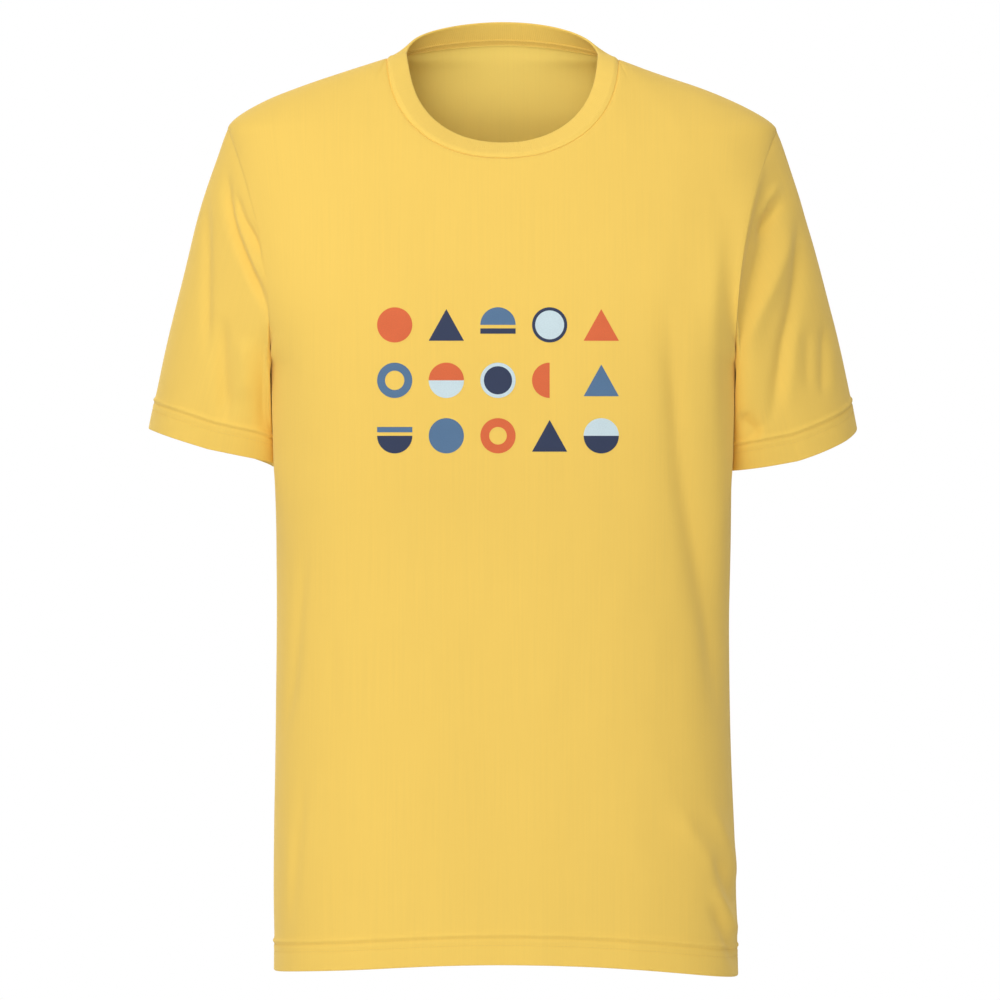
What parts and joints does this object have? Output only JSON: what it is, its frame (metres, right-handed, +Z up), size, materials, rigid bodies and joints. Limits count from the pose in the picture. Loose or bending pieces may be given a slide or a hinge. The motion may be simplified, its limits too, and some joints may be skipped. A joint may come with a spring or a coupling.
{
  "type": "t-shirt",
  "caption": "Short-sleeved crew-neck T-shirt in jersey knit with a rib neckband and turned-up hems, shaped as worn.",
  "frame": {"origin": "middle of the neck opening, level with the tops of the shoulder seams", "axes": "+Z up, -Y the front of the shirt, +X the wearer's left"},
  "size_m": [0.5744, 0.2308, 0.7727],
  "materials": {
    "jersey": "matte jersey knit",
    "rib": "matte rib knit",
    "tape": "matte woven tape"
  },
  "bodies": {
    "root": {"front_panel": "jersey", "back_panel": "jersey", "left_sleeve": "jersey", "right_sleeve": "jersey", "neckband": "rib", "neck_tape": "tape", "left_shoulder_tape": "tape", "right_shoulder_tape": "tape", "front_hem_fold": "jersey", "back_hem_fold": "jersey", "left_cuff_fold": "jersey", "right_cuff_fold": "jersey", "left_side_seam": "jersey", "right_side_seam": "jersey", "left_armhole_seam": "jersey", "right_armhole_seam": "jersey", "left_underarm_seam": "jersey", "right_underarm_seam": "jersey"}
  },
  "joints": []
}
